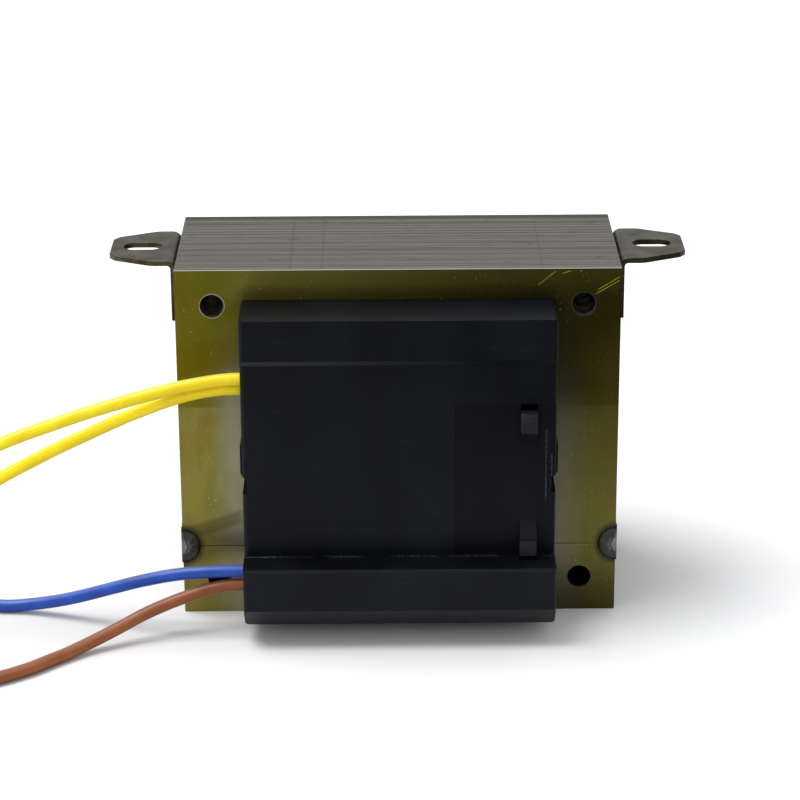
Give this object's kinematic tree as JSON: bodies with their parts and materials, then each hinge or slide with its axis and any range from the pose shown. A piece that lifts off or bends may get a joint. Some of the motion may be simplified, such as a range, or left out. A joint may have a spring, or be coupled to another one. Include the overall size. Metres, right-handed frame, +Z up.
{
  "type": "laminated chassis transformer",
  "caption": "Chassis-mounting mains transformer: welded laminated EI core with slotted lugs, black clip-on coil cover and four stripped free leads.",
  "frame": {"origin": "centre of the base, on the surface that the core stands on", "axes": "+X across the core towards the right lug, +Y through the stack towards the rear cover (the lead side's cover faces -Y), +Z up"},
  "size_m": [0.2458, 0.1089, 0.08],
  "materials": {
    "lamination_steel": "olive-yellow varnished silicon steel with bare grey cut edges",
    "weld": "dull grey weld metal with a heat-browned edge",
    "lug_plate": "olive-tinted zinc plate",
    "black_plastic": "satin moulded black polyamide",
    "bobbin_plastic": "natural polyamide",
    "enamelled_copper": "enamelled copper wire",
    "coil_tape": "polyester tape",
    "splice_sleeve": "shrunk sleeve",
    "yellow_pvc": "smooth satin yellow PVC",
    "blue_pvc": "smooth satin blue PVC",
    "brown_pvc": "smooth satin brown PVC",
    "tinned_copper": "dip-tinned twisted strands"
  },
  "bodies": {
    "root": {"e_lamination_stack": "lamination_steel", "i_lamination_stack": "lamination_steel", "weld_bead_left": "weld", "weld_bead_right": "weld", "mounting_lug_left": "lug_plate", "mounting_lug_right": "lug_plate", "front_cover": "black_plastic", "rear_cover": "black_plastic", "bobbin": "bobbin_plastic", "primary_winding": "enamelled_copper", "secondary_winding": "enamelled_copper", "primary_tape": "coil_tape", "secondary_tape": "coil_tape", "splice_upper_yellow": "splice_sleeve", "splice_lower_yellow": "splice_sleeve", "splice_blue": "splice_sleeve", "splice_brown": "splice_sleeve", "lead_upper_yellow": "yellow_pvc", "lead_lower_yellow": "yellow_pvc", "lead_blue": "blue_pvc", "lead_brown": "brown_pvc", "tip_upper_yellow": "tinned_copper", "tip_lower_yellow": "tinned_copper", "tip_blue": "tinned_copper", "tip_brown": "tinned_copper"}
  },
  "joints": []
}
